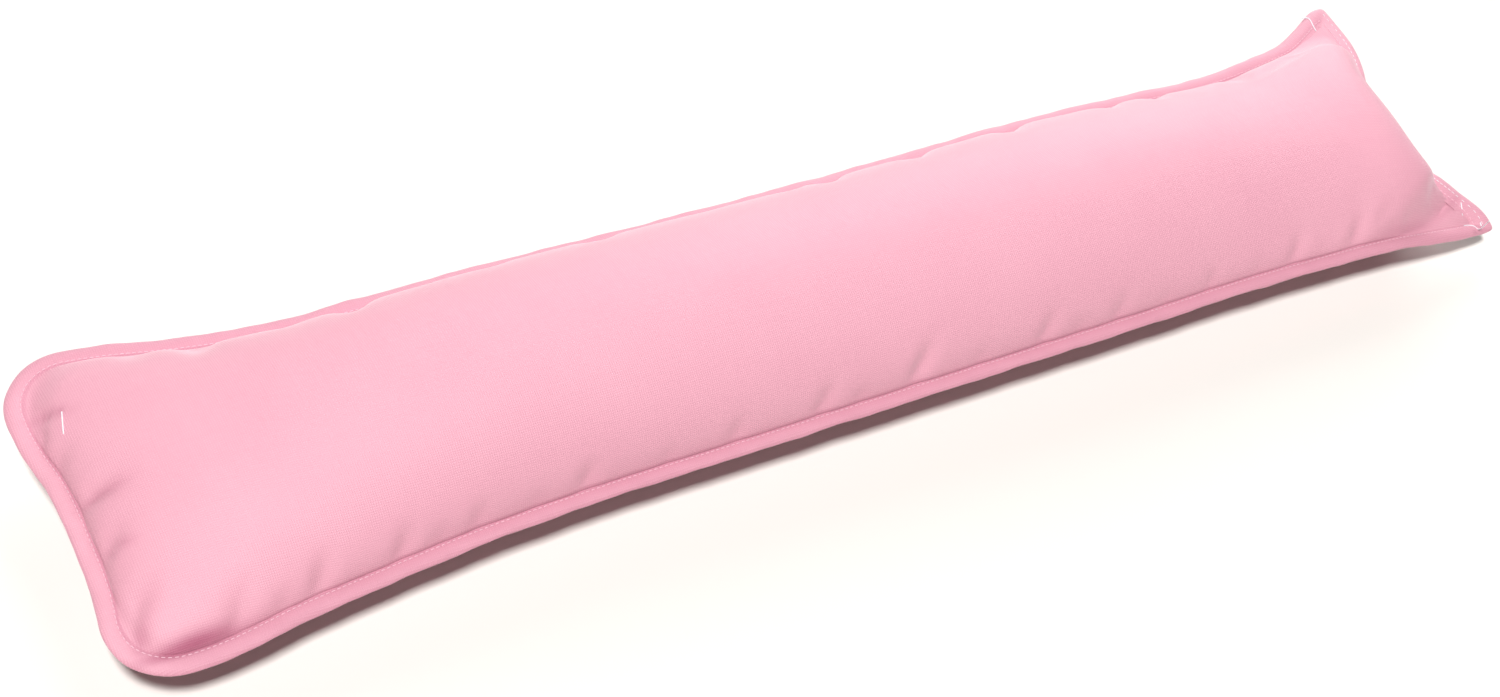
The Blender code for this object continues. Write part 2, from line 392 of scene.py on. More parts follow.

# %% [markdown]
# ## Cloth under pressure
#
# Stuffing presses the cloth outwards, and cloth answers in a way that is hard to draw: it goes
# taut between the puckers and creases finely near the seam. Blender's cloth does that work. The
# two panels share one row of points, the seam, which is pinned. The cloth near the seam is made a
# little larger than its drawing, because there it is gathered. Then the pressure is switched on for
# twenty frames, no point may move further than a set cap, and none may sink into the floor, so the
# drawn shape is kept. Each point also keeps a number for how deep in a groove or fold it lies. The
# canvas uses it for painted shade: a deeper pink there, for shade and light bounced pink to pink.

# %% Body mesh
END_STEPS = 12
MIDDLE_STEPS = 196
ACROSS_STEPS = 48
GROOVE_WIDTH = 0.8 * MM
# Painted shade: how much deeper pink the topstitching groove gets at the seam itself.
GROOVE_SHADE_SHARE = 0.5
SHARP_CORNERS = ((397, -73), (391, 86))
SHARP_CORNER_REACH = 70 * MM
# Ovals of painted shade in the canvas colour, where the cloth folds or dents.
FOLD_SHADE_COLUMNS = ("x", "y", "half_length", "half_width", "turn", "share")
PAINTED_FOLD_SHADES = (
    (-362, -82, 25, 3.6, 0, 1.0),
    (-382, -72.5, 8, 4, 60, 0.4),
    (-381, 52, 9, 2, -24, 0.45),
    (-373, -0.5, 10, 2.2, -10, 0.4),
    (-376, -28.5, 6, 2, -14, 0.3),
    (386, -58, 18, 3, 22, 0.3),
    (345, -67.5, 24, 2.5, 4, 0.3),
)


def link(mesh, name):
    """A mesh made an object at the origin and put in the scene."""
    piece = bpy.data.objects.new(name, mesh)
    bpy.context.scene.collection.objects.link(piece)
    return piece


def grid_faces(index, flip):
    """Quads between neighbouring points of an index grid, turned round if flip."""
    corners = (index[:-1, :-1], index[1:, :-1], index[1:, 1:], index[:-1, 1:])
    return np.stack(corners[::-1] if flip else corners, axis=-1).reshape(-1, 4)


def add_weave_map(mesh, weave):
    """A UV map in metres of cloth, so that the weave keeps its real size on every piece."""
    layer = mesh.uv_layers.new(name="weave")
    corner = np.empty(len(mesh.loops), np.int32)
    mesh.loops.foreach_get("vertex_index", corner)
    layer.data.foreach_set("uv", weave[corner].astype(np.float32).ravel())


def add_painted_shade(mesh, points, distance, least=0.0):
    """Painted shade: how deep in a groove each point lies, a bell curve of its distance from the
    seam, and the painted shade of folds.

    The groove's painted shade fades out towards the sharp corners, where the cloth is slack. A fold's
    shade is an oval in plan with its own place and turn, and a bell curve of the distance from its
    middle. No point gets less than least, which carries the rim's own painted shade.
    """
    depth = GROOVE_SHADE_SHARE * np.exp(-((np.asarray(distance) / GROOVE_WIDTH) ** 2))
    for corner in SHARP_CORNERS:
        away = np.linalg.norm(points[:, :2] - np.array(corner) * MM, axis=1)
        depth = depth * np.clip(away / SHARP_CORNER_REACH, 0, 1) ** 2
    for row in PAINTED_FOLD_SHADES:
        fold = dict(zip(FOLD_SHADE_COLUMNS, row))
        turn = math.radians(fold["turn"])
        from_middle = points[:, :2] / MM - (fold["x"], fold["y"])
        along = from_middle @ (math.cos(turn), math.sin(turn)) / fold["half_length"]
        across = from_middle @ (-math.sin(turn), math.cos(turn)) / fold["half_width"]
        depth = np.maximum(depth, fold["share"] * np.exp(-(along**2) - across**2))
    layer = mesh.attributes.new("crease", "FLOAT", "POINT")
    layer.data.foreach_set("value", np.maximum(depth, least).astype(np.float32))


def body_mesh():
    """Both panels as one closed mesh: two grids whose four edges are the same points."""
    x = stations(END_STEPS, MIDDLE_STEPS)
    across = np.linspace(-1, 1, ACROSS_STEPS + 1)
    upper = puckered(1, x, across)
    lower = puckered(-1, x, across)
    count = upper.shape[0] * upper.shape[1]
    upper_index = np.arange(count).reshape(upper.shape[:2])
    lower_index = upper_index.copy()
    inner = lower_index[1:-1, 1:-1]
    inner[...] = count + np.arange(inner.size).reshape(inner.shape)
    points = np.concatenate([upper.reshape(-1, 3), lower[1:-1, 1:-1].reshape(-1, 3)])
    faces = np.concatenate([grid_faces(upper_index, False), grid_faces(lower_index, True)])
    weave = []
    for grid in (upper, lower[1:-1, 1:-1]):
        woven = arc_length(grid, 1) + grid[:, :1, 1]
        weave.append(np.stack([grid[..., 0], woven], axis=-1).reshape(-1, 2))
    edge = np.minimum.reduce([distance for distance, place in from_edges(upper).values()])
    inner_edge = np.minimum.reduce([distance for distance, place in from_edges(lower).values()])
    edge = np.concatenate([edge.ravel(), inner_edge[1:-1, 1:-1].ravel()])
    mesh = bpy.data.meshes.new("stuffed_body")
    mesh.from_pydata(points.tolist(), [], faces.tolist())
    add_weave_map(mesh, np.concatenate(weave))
    add_painted_shade(mesh, points, edge)
    mesh.shade_smooth()
    return mesh, edge


body_data, body_edge = body_mesh()
body = link(body_data, "stuffed_body")
print("body:", len(body_data.vertices), "points,", len(body_data.polygons), "quads")

# %% Cloth simulation
CLOTH_FRAMES = 20
CLOTH_CAP = 8 * MM
CLOTH_PRESSURE = 4
GATHERED_BAND = 35 * MM
GATHERED_SHARE = 0.04
SEAM_TOLERANCE = 0.01 * MM


def points_of(mesh):
    """A mesh's points as an array with a row for each."""
    flat = np.empty(len(mesh.vertices) * 3)
    mesh.vertices.foreach_get("co", flat)
    return flat.reshape(-1, 3)


def weight_group(piece, name, weights):
    """Gives a piece a vertex group with one weight for each point."""
    group = piece.vertex_groups.new(name=name)
    for level in np.unique(weights):
        if level > 0:
            group.add(np.flatnonzero(weights == level).tolist(), float(level), "REPLACE")


def inflate(piece, edge):
    """Runs the cloth with its seam pinned and returns how far each point moved."""
    drawn = points_of(piece.data)
    weight_group(piece, "seam", (edge < SEAM_TOLERANCE).astype(float))
    gathered = np.round(np.clip(1 - edge / GATHERED_BAND, 0, 1), 1)
    weight_group(piece, "gathered", gathered)
    modifier = piece.modifiers.new("cloth", "CLOTH")
    cloth = modifier.settings
    cloth.quality = 6
    cloth.mass = 0.3
    cloth.tension_stiffness = 25
    cloth.compression_stiffness = 25
    cloth.shear_stiffness = 5
    cloth.bending_stiffness = 0.6
    cloth.vertex_group_mass = "seam"
    cloth.use_pressure = True
    cloth.uniform_pressure_force = CLOTH_PRESSURE
    cloth.shrink_min = 0.0
    cloth.shrink_max = -GATHERED_SHARE
    cloth.vertex_group_shrink = "gathered"
    cloth.effector_weights.gravity = 0
    modifier.collision_settings.use_collision = False
    scene = bpy.context.scene
    modifier.point_cache.frame_start = 1
    modifier.point_cache.frame_end = CLOTH_FRAMES
    for number in range(1, CLOTH_FRAMES + 1):
        scene.frame_set(number)
    graph = bpy.context.evaluated_depsgraph_get()
    settled = points_of(piece.evaluated_get(graph).data)
    piece.modifiers.remove(modifier)
    scene.frame_set(1)
    move = settled - drawn
    far = np.linalg.norm(move, axis=1, keepdims=True)
    move *= np.minimum(1, CLOTH_CAP / np.maximum(far, 1e-9))
    placed = drawn + move
    placed[:, 2] = np.maximum(placed[:, 2], 0)
    piece.data.vertices.foreach_set("co", placed.ravel())
    piece.data.update()
    return far


moved = inflate(body, body_edge)
print("cloth moved up to", round(moved.max() / MM, 1), "mm, mean", round(moved.mean() / MM, 2), "mm")

# %% [markdown]
# ## The rim
#
# A maker sews the panels right sides together, turns them out through the open end and topstitches
# all round. The turned edge outside the stitching is the rim: four layers of canvas, pressed flat
# under the stitches and puffy further out. It is one closed profile carried round the seam line. It
# is a little narrower along the front, and wider near the ends of the closed side. At the two sharp
# corners the profile leans along the seam, more and more, until both runs meet in a mitre. The
# puffy edge isn't quite straight, so its height and width drift a little. Along the two long sides
# the rim stands in the shade of the body, and that shade is painted into its colour as a deeper pink.

# %% Seam line as two runs
RIM_STEP = 2 * MM
CORNER_LEAN_REACH = 16 * MM
RIM_WAVES = ((61 * MM, 0.45, 0.3), (37 * MM, 0.35, 1.9), (17 * MM, 0.2, 4.4))


def even_steps(line, step):
    """A line's points spaced evenly: each coordinate read at equal shares of its length."""
    walked = np.concatenate([[0], np.cumsum(np.linalg.norm(np.diff(line, axis=0), axis=1))])
    places = np.linspace(0, walked[-1], int(round(walked[-1] / step)) + 1)
    return np.stack([np.interp(places, walked, line[:, axis]) for axis in range(3)], axis=1), places


def seam_runs():
    """The long run round the back, left end and front, and the short one up the right end.

    Each run is a dict of its points, its distances walked, its tangents, whether it is the closed
    end, its normals in plan, and the plan directions that lead out of the seam. The last lean along
    the tangent near a sharp corner, so that the two runs share one direction there: the normal plus
    the tangent times the tangent of half the turn.
    """
    x = stations(6 * END_STEPS, 4 * MIDDLE_STEPS)
    front, back = panel(1, x, np.array([-1.0, 1.0])).transpose(1, 0, 2)
    across = np.linspace(-1, 1, 6 * ACROSS_STEPS)
    left, right = panel(1, x[[0, -1]], across)
    long_line = np.concatenate([back[::-1], left[::-1][1:-1], front])
    runs = []
    for line in (long_line, right):
        points, places = even_steps(line, RIM_STEP)
        tangent = np.gradient(points, axis=0)
        tangent[:, 2] = 0
        tangent /= np.linalg.norm(tangent, axis=1, keepdims=True)
        runs.append({"points": points, "places": places, "tangent": tangent, "at_end": line is right})
    for run, other in (runs, runs[::-1]):
        tangent = run["tangent"]
        end_turn = math.acos(np.clip(tangent[-1] @ other["tangent"][0], -1, 1))
        start_turn = math.acos(np.clip(tangent[0] @ other["tangent"][-1], -1, 1))
        to_end = np.clip(1 - (run["places"][-1] - run["places"]) / CORNER_LEAN_REACH, 0, 1)
        to_start = np.clip(1 - run["places"] / CORNER_LEAN_REACH, 0, 1)
        lean = to_end * math.tan(end_turn / 2) - to_start * math.tan(start_turn / 2)
        normal = np.stack([tangent[:, 1], -tangent[:, 0], np.zeros(len(tangent))], axis=1)
        run["normal"] = normal
        run["out"] = normal + tangent * lean[:, None]
    return runs


runs = seam_runs()
seam_length = sum(run["places"][-1] for run in runs)
print("topstitching is", round(seam_length, 3), "m long")

# %% Rim surface
RIM_DROOP = 2 * MM
RIM_SHADE = 0.25
RIM_HEIGHT_DRIFT = 0.7 * MM
RIM_WIDTH_DRIFT = 0.03
WIDTH_DRIFT_STRETCH = 1.3
WIDTH_BLEND = 60 * MM
END_RIM_COLUMNS = ("y", "width")
END_RIM = (
    (-72, 8),
    (-67, 11),
    (-60, 13),
    (-48, 12.5),
    (-32, 9.5),
    (0, 9),
    (56, 9.5),
    (72, 11),
    (80, 10.5),
    (86, 9),
)
RIM_COLUMNS = ("out", "half_thickness")
RIM_PROFILE = (
    (-2.5, 0.2),
    (-0.6, 0.15),
    (0.4, 0.2),
    (1.0, 0.4),
    (1.8, 0.7),
    (3.0, 0.95),
    (4.6, 1.2),
    (6.0, 1.3),
    (7.3, 1.2),
    (8.3, 0.9),
    (8.9, 0.4),
)


def rim_drift(places):
    """A slow drift along the seam, from about -1 to 1: a sum of sines of unlike lengths."""
    waves = [share * np.sin(2 * math.pi * places / length + start) for length, share, start in RIM_WAVES]
    return np.sum(waves, axis=0)


def rim_level(run, out):
    """Height of the rim's middle layer over the floor, by distance from the seam: it droops."""
    share = np.clip(out / RIM_WIDTH, 0, 1)
    drift = RIM_HEIGHT_DRIFT * rim_drift(run["places"])
    return run["points"][:, 2] + (drift - RIM_DROOP) * share**2


def rim_share(run):
    """The rim's width as a share of its full width: from the tables, and a whole at the back."""
    x, y = (run["points"] + BOX_MIDDLE)[:, :2].T
    if run["at_end"]:
        rows = np.array(END_RIM) * MM
        return np.interp(y, rows[:, 0], rows[:, 1]) / RIM_WIDTH
    front = smooth("front_rim", x) / RIM_WIDTH
    step = np.clip((y / WIDTH_BLEND + 1) / 2, 0, 1)
    return front + (1 - front) * step**2 * (3 - 2 * step)


def rim_place(run, out):
    """Points at one distance from the seam, on the rim's middle layer."""
    share = rim_share(run) * (1 + RIM_WIDTH_DRIFT * rim_drift(run["places"] * WIDTH_DRIFT_STRETCH))
    place = run["points"] + run["out"] * out * share[:, None]
    place[:, 2] = rim_level(run, out)
    return place


def rim_half_thickness(out):
    """The profile's half thickness between its rows, in a straight line."""
    rows = np.array(RIM_PROFILE) * MM
    return np.interp(out, rows[:, 0], rows[:, 1])


def rim_mesh():
    """The profile's upper rows, then its lower rows back: one closed tube round the seam."""
    rows = [(out * MM, half * MM) for out, half in RIM_PROFILE]
    rings = rows + [(out, -half) for out, half in reversed(rows)]
    loops = []
    for out, half in rings:
        parts = [rim_place(run, out)[:-1] for run in runs]
        loop = np.concatenate(parts)
        loop[:, 2] += half
        loops.append(loop)
    points = np.stack(loops, axis=1)
    around, count = points.shape[:2]
    index = np.arange(around * count).reshape(around, count)
    index = np.concatenate([index, index[:1]], axis=0)
    index = np.concatenate([index, index[:, :1]], axis=1)
    flat = points.reshape(-1, 3)
    mesh = bpy.data.meshes.new("turned_rim")
    mesh.from_pydata(flat.tolist(), [], grid_faces(index, True).tolist())
    add_weave_map(mesh, flat[:, :2])
    # Painted shade: a deeper pink along the rim's long sides, for the shade of the body.
    along_sides = np.abs(np.concatenate([run["normal"][:-1, 1] for run in runs]))
    shade = np.repeat(RIM_SHADE * along_sides**2, count)
    add_painted_shade(mesh, flat, np.tile([abs(out) for out, half in rings], around), shade)
    mesh.shade_smooth()
    return mesh


rim = link(rim_mesh(), "turned_rim")
print("rim:", len(rim.data.polygons), "quads")

# %% [markdown]
# ## Stitches
#
# The topstitching is a fine pale row in the groove between rim and body. Each stitch is a thread that
# dips into the cloth at both ends. One stitch is worked out as a tube, and then the whole row is
# placed at once: every stitch's frame is the seam's own tangent, its normal and the upright.

# %% Topstitching
STITCH_OUT = 1.1 * MM
STITCH_PITCH = 2.8 * MM
STITCH_LENGTH = 2.3 * MM
STITCH_RADIUS = 0.24 * MM
STITCH_SIDES = 6
STITCH_RINGS = 5
STITCH_TAPER = 2.02 / 1.05
STITCH_THINNEST = 0.05
STITCH_LIFT = 0.55
STITCH_SINK = 1.6


def stitch_shape(length, radius):
    """One stitch as rings: along it a line, up it an arch that sinks under the cloth at each end."""
    along = np.linspace(-0.5, 0.5, STITCH_RINGS)
    girth = radius * np.sqrt(np.clip(1 - (STITCH_TAPER * np.abs(along)) ** 4, STITCH_THINNEST, 1))
    turn = np.arange(STITCH_SIDES) * 2 * math.pi / STITCH_SIDES
    height = radius * (STITCH_LIFT - STITCH_SINK * (2 * along) ** 4)
    return np.stack([
        np.repeat(along * length, STITCH_SIDES),
        np.outer(girth, np.cos(turn)).ravel(),
        (height[:, None] + np.outer(girth, np.sin(turn))).ravel(),
    ], axis=1)


def tube_faces(rings, sides):
    """Quads round a tube of rings, and one polygon on each end."""
    index = np.arange(rings * sides).reshape(rings, sides)
    closed = np.concatenate([index, index[:, :1]], axis=1)
    quads = grid_faces(closed, True).tolist()
    return quads + [index[0].tolist(), index[-1][::-1].tolist()]


def stitch_row(centres, tangents, normals, side, length, radius):
    """All stitches of a row: the one shape turned into each stitch's own three directions."""
    shape = stitch_shape(length, radius) * (1, 1, side)
    upright = np.zeros_like(tangents)
    upright[:, 2] = 1
    frames = np.stack([tangents, normals, upright], axis=1)
    return centres[:, None] + np.einsum("vk,skc->svc", shape, frames)


def rows_mesh(name, rows):
    """One mesh of several rows of stitches; rows under the rim are turned so faces point out."""
    points, faces, start = [], [], 0
    for placed, side in rows:
        one = tube_faces(STITCH_RINGS, STITCH_SIDES)
        if side < 0:
            one = [face[::-1] for face in one]
        each = placed.shape[1]
        offsets = start + np.arange(placed.shape[0]) * each
        faces += [[corner + offset for corner in face] for offset in offsets.tolist() for face in one]
        points.append(placed.reshape(-1, 3))
        start += placed.shape[0] * each
    mesh = bpy.data.meshes.new(name)
    mesh.from_pydata(np.concatenate(points).tolist(), [], faces)
    mesh.shade_smooth()
    return mesh


def row_on_rim(run, out, side, pitch, length, radius):
    """Stitches at one distance out along a run, on the rim's upper (side 1) or lower (-1) face."""
    count = int(run["places"][-1] / pitch)
    at = (np.arange(count) + 0.5) * pitch
    line = rim_place(run, out)
    line[:, 2] += side * rim_half_thickness(out)
    read = [np.interp(at, run["places"], line[:, axis]) for axis in range(3)]
    centres = np.stack(read, axis=1)
    tangents = np.gradient(centres, axis=0)
    tangents /= np.linalg.norm(tangents, axis=1, keepdims=True)
    normals = np.stack([tangents[:, 1], -tangents[:, 0], np.zeros(count)], axis=1)
    normals /= np.linalg.norm(normals, axis=1, keepdims=True)
    return stitch_row(centres, tangents, normals, side, length, radius), side


top_rows = [
    row_on_rim(run, STITCH_OUT, side, STITCH_PITCH, STITCH_LENGTH, STITCH_RADIUS)
    for run in runs
    for side in (1, -1)
]
topstitching = link(rows_mesh("topstitching", top_rows), "topstitching")
print("topstitching:", sum(len(row[0]) for row in top_rows), "stitches")

# %% [markdown]
# ## The closing seam and a loose end
#
# The filling went in through the right end, which was then sewn shut with fine white thread, half way
# out on the rim. At both corners the machine ran back and forth, so there the thread lies in loops
# and wraps over the edge. Another white end was left near the back left corner. These loose threads
# are drawn in plan, and rays cast straight down tell how high the cloth is under them.

# %% Closing seam
CLOSING_OUT = 4.5 * MM
CLOSING_PITCH = 3 * MM
CLOSING_LENGTH = 2.4 * MM
CLOSING_RADIUS = 0.17 * MM
THREAD_RADIUS = 0.3 * MM
THREAD_SIDES = 8
THREAD_STEPS = 8
SMOOTHING_ROUNDS = 12
NEARLY_UP = (0.13, 0.29, 0.95)
CORNER_THREADS = (
    ((394.5, -58.0), (393.5, -61.5)),
    ((392.8, -63.4), (393.4, -66.4)),
    ((391.0, -69.6), (394.8, -69.4), (397.8, -71.6), (397.8, -75.6), (396.2, -78.4)),
    ((390.6, -77.6), (389.6, -79.8)),
    ((381.2, 90.4), (385.3, 89.6), (384.6, 85.5), (383.8, 82.2), (383.6, 78.8)),
)
LEFT_THREAD = ((-377.2, 49.2), (-378.2, 45.6), (-379.2, 41.6), (-380.2, 37.6))


def thread_mesh(name, paths, radius):
    """Tubes along smooth paths: each ring lies square to the path.

    Repeated averages of neighbours smooth a path. A direction that is nearly up, and that no path
    follows, gives each ring its sideways direction.
    """
    turn = np.arange(THREAD_SIDES) * 2 * math.pi / THREAD_SIDES
    points, faces, start = [], [], 0
    for path in paths:
        rough = np.array(path, float)
        middle = np.arange(len(rough))
        fine = np.linspace(0, len(rough) - 1, THREAD_STEPS * (len(rough) - 1) + 1)
        line = np.stack([np.interp(fine, middle, rough[:, axis]) for axis in range(3)], axis=1)
        for _ in range(SMOOTHING_ROUNDS):
            line[1:-1] = (line[:-2] + 2 * line[1:-1] + line[2:]) / 4
        tangent = np.gradient(line, axis=0)
        tangent /= np.linalg.norm(tangent, axis=1, keepdims=True)
        sideways = np.cross(tangent, NEARLY_UP)
        sideways /= np.linalg.norm(sideways, axis=1, keepdims=True)
        over = np.cross(sideways, tangent)
        ring = sideways[:, None] * np.cos(turn)[None, :, None] + over[:, None] * np.sin(turn)[None, :, None]
        tube = line[:, None] + radius * ring
        index = start + np.arange(len(line) * THREAD_SIDES).reshape(len(line), THREAD_SIDES)
        closed = np.concatenate([index, index[:, :1]], axis=1)
        faces += grid_faces(closed, False).tolist() + [index[0][::-1].tolist(), index[-1].tolist()]
        points.append(tube.reshape(-1, 3))
        start += tube.shape[0] * THREAD_SIDES
    mesh = bpy.data.meshes.new(name)
    mesh.from_pydata(np.concatenate(points).tolist(), [], faces)
    mesh.shade_smooth()
    return mesh


def laid_on(piece, plan, lift):
    """Plan places at the height where a ray straight down meets the piece, or at seam height."""
    points = []
    for x, y in plan:
        hit, place, normal, face = piece.ray_cast((x * MM, y * MM, LENGTH), (0, 0, -1))
        height = place.z if hit else float(smooth("seam", x * MM))
        points.append((x * MM, y * MM, height + lift))
    return points


bpy.context.view_layer.update()
short_run = runs[1]
closing_rows = [
    row_on_rim(short_run, CLOSING_OUT, side, CLOSING_PITCH, CLOSING_LENGTH, CLOSING_RADIUS)
    for side in (1, -1)
]
closing = link(rows_mesh("closing_seam", closing_rows), "closing_seam")
thread_paths = [laid_on(rim, plan, 0.6 * THREAD_RADIUS) for plan in CORNER_THREADS]
thread_paths.append(laid_on(body, LEFT_THREAD, 0.8 * THREAD_RADIUS))
thread_ends = link(thread_mesh("thread_ends", thread_paths, THREAD_RADIUS), "thread_ends")
print("closing seam:", sum(len(row[0]) for row in closing_rows), "stitches")
print("loose threads:", len(thread_paths))

# %% [markdown]
# ## Canvas
#
# The cover is cotton canvas, plain woven from dyed yarn: nearly matt, with a faint broad gloss from
# pressing, a little fuzzy at grazing angles, and a fine grid of yarns crossing over and under. The
# real yarns are about half a millimetre apart. That is finer than a pixel of the picture, so they
# are drawn 1.1 mm apart, with little contrast. Yarn also varies in thickness, which gives faint
# streaks along both directions. The cloth is dyed a dusty pink, which strong light turns to the
# clean light pink of the picture.

# %% Material helpers
def linear(colour):
    """An sRGB hex colour as linear RGBA: each channel through the standard display curve."""
    channels = np.array([int(colour[place : place + 2], 16) / 255 for place in (1, 3, 5)])
    low, high = channels / 12.92, ((channels + 0.055) / 1.055) ** 2.4
    return (*np.where(channels <= 0.04045, low, high).tolist(), 1.0)


def new_material(name):
    """An empty material with its output, ready for a shader."""
    material = bpy.data.materials.new(name)
    material.use_nodes = True
    material.node_tree.nodes.clear()
    return material.node_tree, material


def add_node(tree, kind, settings=None, **sockets):
    """A node with its settings; each socket is given a number, a colour or another node's output."""
    node = tree.nodes.new(kind)
    for name, value in (settings or {}).items():
        setattr(node, name, value)
    for name, value in sockets.items():
        socket = node.inputs[int(name[1:])] if name[1:].isdigit() else node.inputs[name.replace("_", " ")]
        if isinstance(value, bpy.types.NodeSocket):
            tree.links.new(value, socket)
        else:
            socket.default_value = value
    return node


# %% Pink canvas
YARN_PITCH = 1.1 * MM
# A wave texture of scale 1 repeats after this many metres.
WAVE_PERIOD = math.pi / 10
CANVAS_COLOUR = linear("#C9909E")
CANVAS_DARK = linear("#C38898")
CANVAS_PALE = linear("#CC96A4")
# The deeper pink of the painted shade in grooves, folds and along the rim's long sides.
CREASE_SHADE_COLOUR = linear("#9A5068")
CANVAS_BUMP = 0.6
CANVAS_ROUGHNESS = 0.58
CANVAS_SPECULAR = 0.5
CANVAS_SHEEN = 0.3


def woven_canvas():
    """Cotton canvas: two crossing sets of yarn as bump, streaks and mottling in the colour."""
    tree, material = new_material("woven_cotton_canvas")
    cloth = add_node(tree, "ShaderNodeUVMap", {"uv_map": "weave"}).outputs["UV"]
    yarns = []
    for direction in ("X", "Y"):
        yarns.append(add_node(
            tree,
            "ShaderNodeTexWave",
            {"wave_type": "BANDS", "bands_direction": direction, "wave_profile": "SIN"},
            Vector=cloth,
            Scale=WAVE_PERIOD / YARN_PITCH,
            Distortion=0.6,
            Detail=1.0,
            Detail_Scale=0.4,
        ).outputs["Fac"])
    weave = add_node(tree, "ShaderNodeMath", {"operation": "MULTIPLY"}, _0=yarns[0], _1=yarns[1])
    streaks = []
    for stretch in ((1 / (1.3 * MM), 1 / (60 * MM), 1), (1 / (60 * MM), 1 / (1.6 * MM), 1)):
        along = add_node(tree, "ShaderNodeMapping", Vector=cloth, Scale=stretch)
        noise = add_node(tree, "ShaderNodeTexNoise", Vector=along.outputs[0], Scale=1.0, Detail=2.0)
        streaks.append(noise.outputs["Fac"])
    streak = add_node(tree, "ShaderNodeMath", {"operation": "ADD"}, _0=streaks[0], _1=streaks[1])
    place = add_node(tree, "ShaderNodeTexCoord").outputs["Object"]
    mottling = add_node(tree, "ShaderNodeTexNoise", Vector=place, Scale=1 / (45 * MM), Detail=3.0)
    yarn_colour = add_node(
        tree,
        "ShaderNodeMapRange",
        Value=weave.outputs[0],
        From_Min=0.0,
        From_Max=1.0,
        To_Min=0.30,
        To_Max=0.62,
    )
    streak_colour = add_node(
        tree,
        "ShaderNodeMath",
        {"operation": "MULTIPLY_ADD"},
        _0=streak.outputs[0],
        _1=0.12,
        _2=yarn_colour.outputs[0],
    )
    all_colour = add_node(
        tree,
        "ShaderNodeMath",
        {"operation": "MULTIPLY_ADD"},
        _0=mottling.outputs["Fac"],
        _1=0.25,
        _2=streak_colour.outputs[0],
    )
    ramp = add_node(tree, "ShaderNodeValToRGB", _0=all_colour.outputs[0])
    stops = ramp.color_ramp.elements
    stops[0].position, stops[0].color = 0.45, CANVAS_DARK
    stops[1].position, stops[1].color = 1.0, CANVAS_PALE
    middle = stops.new(0.72)
    middle.color = CANVAS_COLOUR
    # Painted shade: the crease number mixes the cloth's pink towards the deeper pink.
    crease = add_node(tree, "ShaderNodeAttribute", {"attribute_name": "crease"})
    shaded = add_node(
        tree,
        "ShaderNodeMixRGB",
        Fac=crease.outputs["Fac"],
        Color1=ramp.outputs["Color"],
        Color2=CREASE_SHADE_COLOUR,
    )
    height = add_node(
        tree,
        "ShaderNodeMath",
        {"operation": "MULTIPLY_ADD"},
        _0=streak.outputs[0],
        _1=0.25,
        _2=weave.outputs[0],
    )
    bump = add_node(
        tree,
        "ShaderNodeBump",
        Height=height.outputs[0],
        Strength=CANVAS_BUMP,
        Distance=0.25 * MM,
    )
    shader = add_node(
        tree,
        "ShaderNodeBsdfPrincipled",
        Base_Color=shaded.outputs["Color"],
        Roughness=CANVAS_ROUGHNESS,
        Sheen_Weight=CANVAS_SHEEN,
        Sheen_Roughness=0.4,
        Sheen_Tint=linear("#FFF4F8"),
        Normal=bump.outputs["Normal"],
    )
    shader.inputs["Specular IOR Level"].default_value = CANVAS_SPECULAR
    add_node(tree, "ShaderNodeOutputMaterial", Surface=shader.outputs["BSDF"])
    return material


canvas = woven_canvas()
for piece in (body, rim):
    piece.data.materials.append(canvas)
print("canvas yarns drawn", YARN_PITCH / MM, "mm apart")

# %% [markdown]
# ## Thread
#
# Sewing thread is spun polyester, twisted from plies: satin rather than matt, with a fine slanted
# rib. The topstitching is a paler pink than the cloth. The closing seam is white.

# %% Threads
PLY_LENGTH = 0.8 * MM


def spun_thread(name, colour):
    """Twisted polyester: a slanted fine rib as bump, under a soft satin gloss."""
    tree, material = new_material(name)
    place = add_node(tree, "ShaderNodeTexCoord").outputs["Object"]
    plies = add_node(
        tree,
        "ShaderNodeTexWave",
        {"wave_type": "BANDS", "bands_direction": "DIAGONAL"},
        Vector=place,
        Scale=WAVE_PERIOD / PLY_LENGTH,
    )
    fuzz = add_node(tree, "ShaderNodeTexNoise", Vector=place, Scale=1 / (2 * MM), Detail=2.0)
    tone = add_node(
        tree,
        "ShaderNodeHueSaturation",
        Color=linear(colour),
        Value=add_node(
            tree, "ShaderNodeMapRange", Value=fuzz.outputs["Fac"], To_Min=0.9, To_Max=1.06
        ).outputs[0],
    )
    bump = add_node(tree, "ShaderNodeBump", Height=plies.outputs["Fac"], Strength=0.3, Distance=0.1 * MM)
    shader = add_node(
        tree,
        "ShaderNodeBsdfPrincipled",
        Base_Color=tone.outputs["Color"],
        Roughness=0.6,
        Sheen_Weight=0.2,
        Normal=bump.outputs["Normal"],
    )
    add_node(tree, "ShaderNodeOutputMaterial", Surface=shader.outputs["BSDF"])
    return material


topstitching.data.materials.append(spun_thread("pink_polyester_thread", "#D3A5B3"))
white_thread = spun_thread("white_polyester_thread", "#D8D8DC")
for piece in (closing, thread_ends):
    piece.data.materials.append(white_thread)
print("threads:", topstitching.data.materials[0].name, closing.data.materials[0].name)

# %% [markdown]
# ## Floor and light
#
# The floor is a pale board in light strong enough to show it white. The key light stands high, a
# little to the front left, and leaves a narrow dark shadow under the front rim. A low wide light
# behind gives the pale band along the crown, and a weak reflector lifts the front. The world's
# white light fills the rest. The colours are shown as they are, without a film look.

# %% Floor, light and colour view
FLOOR_SIZE = 8.0
KEY_PLACE = (-1.8, -1.7, 6.0)
KEY_SIZE = (0.9, 0.9)
KEY_POWER = 640
BACK_PLACE = (1.7, 2.5, 1.2)
BACK_SIZE = (3.2, 1.8)
BACK_POWER = 114
FRONT_PLACE = (-0.8, -5.4, 1.6)
FRONT_SIZE = (8.0, 3.0)
FRONT_POWER = 65
WORLD_STRENGTH = 0.06
FLOOR_COLOUR = linear("#D0CCC7")


